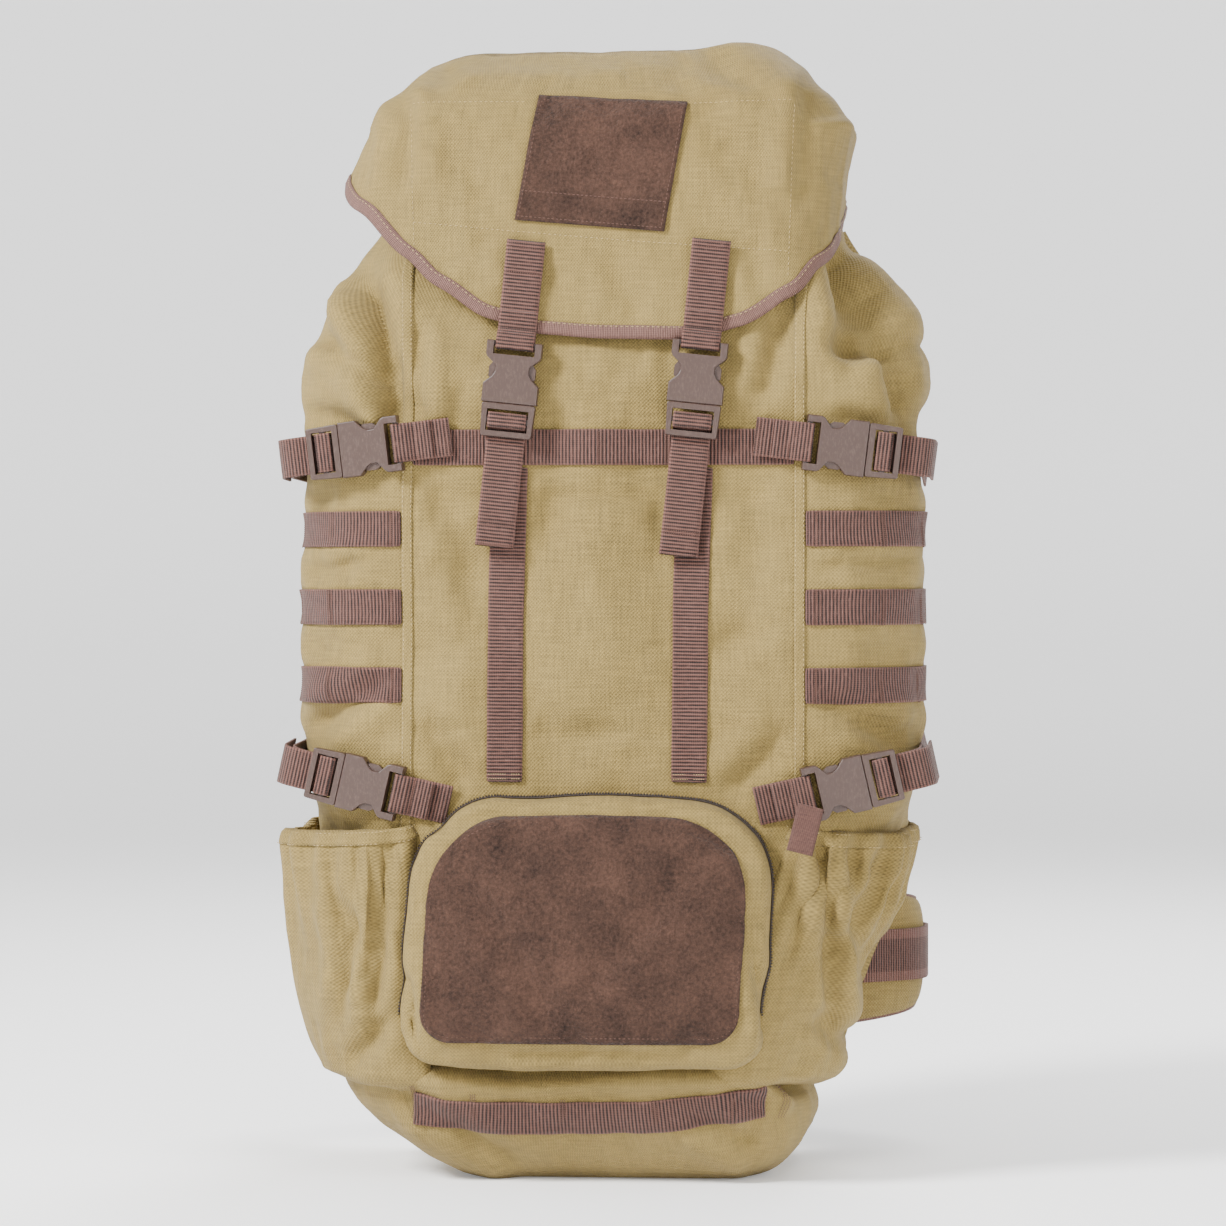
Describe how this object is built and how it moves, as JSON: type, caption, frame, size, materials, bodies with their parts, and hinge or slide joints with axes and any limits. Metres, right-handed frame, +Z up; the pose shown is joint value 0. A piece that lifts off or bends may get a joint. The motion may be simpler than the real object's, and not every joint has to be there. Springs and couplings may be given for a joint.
{
  "type": "hunting backpack",
  "caption": "Top-loading hunting backpack with a buckled lid, front pocket, side pockets, compression straps, padded harness and hip belt.",
  "frame": {"origin": "centre of the flat base, on the surface the pack stands on", "axes": "+Z up, the front with the lid buckles faces -Y, the wearer's back is at +Y, +X is to the right of someone who looks at the front"},
  "size_m": [0.4404, 0.4416, 0.74],
  "materials": {
    "canvas": "matte khaki canvas",
    "collar_cloth": "thin coated nylon",
    "webbing": "brown ribbed webbing",
    "buckle_plastic": "satin moulded brown",
    "loop_fabric": "brushed brown loop pile",
    "binding_tape": "soft brown tape",
    "zip_coil": "brown coil zip",
    "slider_metal": "burnished brown",
    "padding": "dark spacer mesh over foam",
    "cord": "braided",
    "lock_plastic": "moulded",
    "frame_plastic": "sheet",
    "stay_metal": "mill finish"
  },
  "bodies": {
    "pack": {"front_panel": "canvas", "back_panel": "canvas", "side_panel_left": "canvas", "side_panel_right": "canvas", "base_panel": "canvas", "front_pocket": "canvas", "side_pocket_left": "canvas", "side_pocket_right": "canvas", "lid_hinge_strip": "canvas", "drawcord_collar": "collar_cloth", "front_webbing": "webbing", "side_ladders": "webbing", "base_webbing": "webbing", "strap_anchors": "webbing", "harness_webbing": "webbing", "haul_loop": "webbing", "sternum_strap_left": "webbing", "compression_sockets": "buckle_plastic", "ladder_locks": "buckle_plastic", "sternum_socket": "buckle_plastic", "pocket_loop_panel": "loop_fabric", "label_tab": "binding_tape", "pocket_zip": "zip_coil", "back_pads": "padding", "shoulder_strap_left": "padding", "shoulder_strap_right": "padding", "drawcord": "cord", "cord_lock": "lock_plastic", "frame_sheet": "frame_plastic", "frame_stays": "stay_metal"},
    "lid": {"lid_pocket": "canvas", "lid_skirt": "canvas", "lid_binding": "binding_tape", "lid_patch": "loop_fabric", "lid_zip": "zip_coil", "lid_straps": "webbing", "lid_sockets": "buckle_plastic"},
    "lid_plug_left": {"lid_plug_left": "buckle_plastic", "lid_tail_left": "webbing"},
    "lid_plug_right": {"lid_plug_right": "buckle_plastic", "lid_tail_right": "webbing"},
    "pocket_slider": {"pocket_slider": "slider_metal"},
    "lid_slider": {"lid_slider": "slider_metal"},
    "cord_lock_button": {"cord_lock_button": "lock_plastic"},
    "belt_left": {"belt_wing_left": "padding", "belt_webbing_left": "webbing", "belt_socket": "buckle_plastic"},
    "belt_right": {"belt_wing_right": "padding", "belt_webbing_right": "webbing", "belt_plug": "buckle_plastic"},
    "sternum_plug": {"sternum_plug": "buckle_plastic", "sternum_strap_right": "webbing"},
    "upper_plug_left": {"upper_plug_left": "buckle_plastic", "upper_strap_left": "webbing"},
    "upper_plug_right": {"upper_plug_right": "buckle_plastic", "upper_strap_right": "webbing"},
    "lower_plug_left": {"lower_plug_left": "buckle_plastic", "lower_strap_left": "webbing"},
    "lower_plug_right": {"lower_plug_right": "buckle_plastic", "lower_strap_right": "webbing"}
  },
  "joints": [
    {"name": "lid_hinge", "type": "hinge", "parent": "pack", "child": "lid", "pos_m": [0, 0.108, 0.65], "axis": [-1, 0, 0], "range_deg": [0, 120]},
    {"name": "lid_release_left", "type": "slide", "parent": "pack", "child": "lid_plug_left", "axis": [-0.1045, 0, -0.9945], "range_m": [0, 0.03]},
    {"name": "lid_release_right", "type": "slide", "parent": "pack", "child": "lid_plug_right", "axis": [-0.1045, 0, -0.9945], "range_m": [0, 0.03]},
    {"name": "upper_release_left", "type": "slide", "parent": "pack", "child": "upper_plug_left", "axis": [-0.9829, 0.1381, -0.1219], "range_m": [0, 0.03]},
    {"name": "upper_release_right", "type": "slide", "parent": "pack", "child": "upper_plug_right", "axis": [0.9829, 0.1381, -0.1219], "range_m": [0, 0.03]},
    {"name": "lower_release_left", "type": "slide", "parent": "pack", "child": "lower_plug_left", "axis": [-0.9649, 0.1356, 0.225], "range_m": [0, 0.03]},
    {"name": "lower_release_right", "type": "slide", "parent": "pack", "child": "lower_plug_right", "axis": [0.9649, 0.1356, 0.225], "range_m": [0, 0.03]},
    {"name": "pocket_zip_run", "type": "slide", "parent": "pack", "child": "pocket_slider", "axis": [0, 0, -1], "range_m": [0, 0.075]},
    {"name": "lid_zip_run", "type": "slide", "parent": "lid", "child": "lid_slider", "axis": [1, 0, 0], "range_m": [0, 0.15]},
    {"name": "cord_lock_press", "type": "slide", "parent": "pack", "child": "cord_lock_button", "axis": [0, 0, -1], "range_m": [0, 0.004], "stiffness_N_per_m": 300},
    {"name": "belt_left_wrap", "type": "hinge", "parent": "pack", "child": "belt_left", "pos_m": [-0.112, 0.114, 0.13], "axis": [0, 0, -1], "range_deg": [0, 30]},
    {"name": "belt_right_wrap", "type": "hinge", "parent": "pack", "child": "belt_right", "pos_m": [0.112, 0.114, 0.13], "axis": [0, 0, 1], "range_deg": [-14, 16]},
    {"name": "sternum_release", "type": "slide", "parent": "pack", "child": "sternum_plug", "axis": [1, 0, 0], "range_m": [0, 0.028]}
  ]
}
